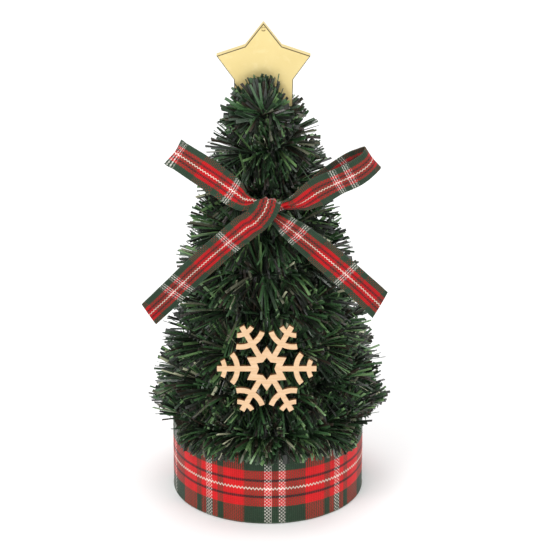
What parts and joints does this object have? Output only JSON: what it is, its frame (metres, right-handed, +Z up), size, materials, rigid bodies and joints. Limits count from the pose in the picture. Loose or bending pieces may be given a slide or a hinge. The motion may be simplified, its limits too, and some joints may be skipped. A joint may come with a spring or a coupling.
{
  "type": "artificial tabletop tree",
  "caption": "Small artificial tree: a film-strip garland wound on a cone over a ribbon-covered drum, with a tartan bow, a wooden snowflake and a lift-out gold star.",
  "frame": {"origin": "centre of the flat underside", "axes": "+Z up along the trunk, -Y towards the front with the bow and the snowflake, +X to the viewer's right"},
  "size_m": [0.1253, 0.1182, 0.256],
  "materials": {
    "felt": "matte",
    "board": "matte",
    "green_board": "matte",
    "plaster": "matte",
    "tartan_ribbon": "satin",
    "wood": "matte",
    "core_wire": "satin",
    "tinsel_film": "satin",
    "gold_plastic": "satin",
    "plywood": "matte",
    "hot_glue": "satin"
  },
  "bodies": {
    "tree": {"felt_pad": "felt", "drum_floor": "board", "drum_wall": "board", "drum_deck": "board", "ballast_disc": "plaster", "base_ribbon": "tartan_ribbon", "trunk_dowel": "wood", "core_cone": "green_board", "cone_seat_ring": "board", "apex_plug": "wood", "garland_wire": "core_wire", "garland_turn_1": "tinsel_film", "garland_turn_2": "tinsel_film", "garland_turn_3": "tinsel_film", "garland_turn_4": "tinsel_film", "garland_turn_5": "tinsel_film", "garland_turn_6": "tinsel_film", "garland_turn_7": "tinsel_film", "garland_turn_8": "tinsel_film", "garland_turn_9": "tinsel_film", "snowflake": "plywood", "hot_glue_dabs": "hot_glue", "bow_knot": "tartan_ribbon"},
    "star": {"star_front_shell": "gold_plastic", "star_back_shell": "gold_plastic", "star_pick": "wood"},
    "bow_left_loop": {"bow_loop_left": "tartan_ribbon"},
    "bow_right_loop": {"bow_loop_right": "tartan_ribbon"},
    "bow_left_tail": {"bow_tail_left": "tartan_ribbon"},
    "bow_right_tail": {"bow_tail_right": "tartan_ribbon"}
  },
  "joints": [
    {"name": "star_lift", "type": "slide", "parent": "tree", "child": "star", "axis": [0, 0, 1], "range_m": [0, 0.022]},
    {"name": "loop_left_flex", "type": "hinge", "parent": "tree", "child": "bow_left_loop", "pos_m": [0.0008, -0.039, 0.1692], "axis": [0.5519, 0, 0.8339], "range_deg": [-8, 30], "stiffness_Nm_per_rad": 0.002},
    {"name": "loop_right_flex", "type": "hinge", "parent": "tree", "child": "bow_right_loop", "pos_m": [0.0008, -0.039, 0.1692], "axis": [0.515, 0, -0.8572], "range_deg": [-8, 30], "stiffness_Nm_per_rad": 0.002},
    {"name": "tail_left_flex", "type": "hinge", "parent": "tree", "child": "bow_left_tail", "pos_m": [0.0008, -0.039, 0.1692], "axis": [-0.6756, 0, 0.7373], "range_deg": [0, 35], "stiffness_Nm_per_rad": 0.002},
    {"name": "tail_right_flex", "type": "hinge", "parent": "tree", "child": "bow_right_tail", "pos_m": [0.0008, -0.039, 0.1692], "axis": [-0.6428, 0, -0.766], "range_deg": [0, 35], "stiffness_Nm_per_rad": 0.002}
  ]
}
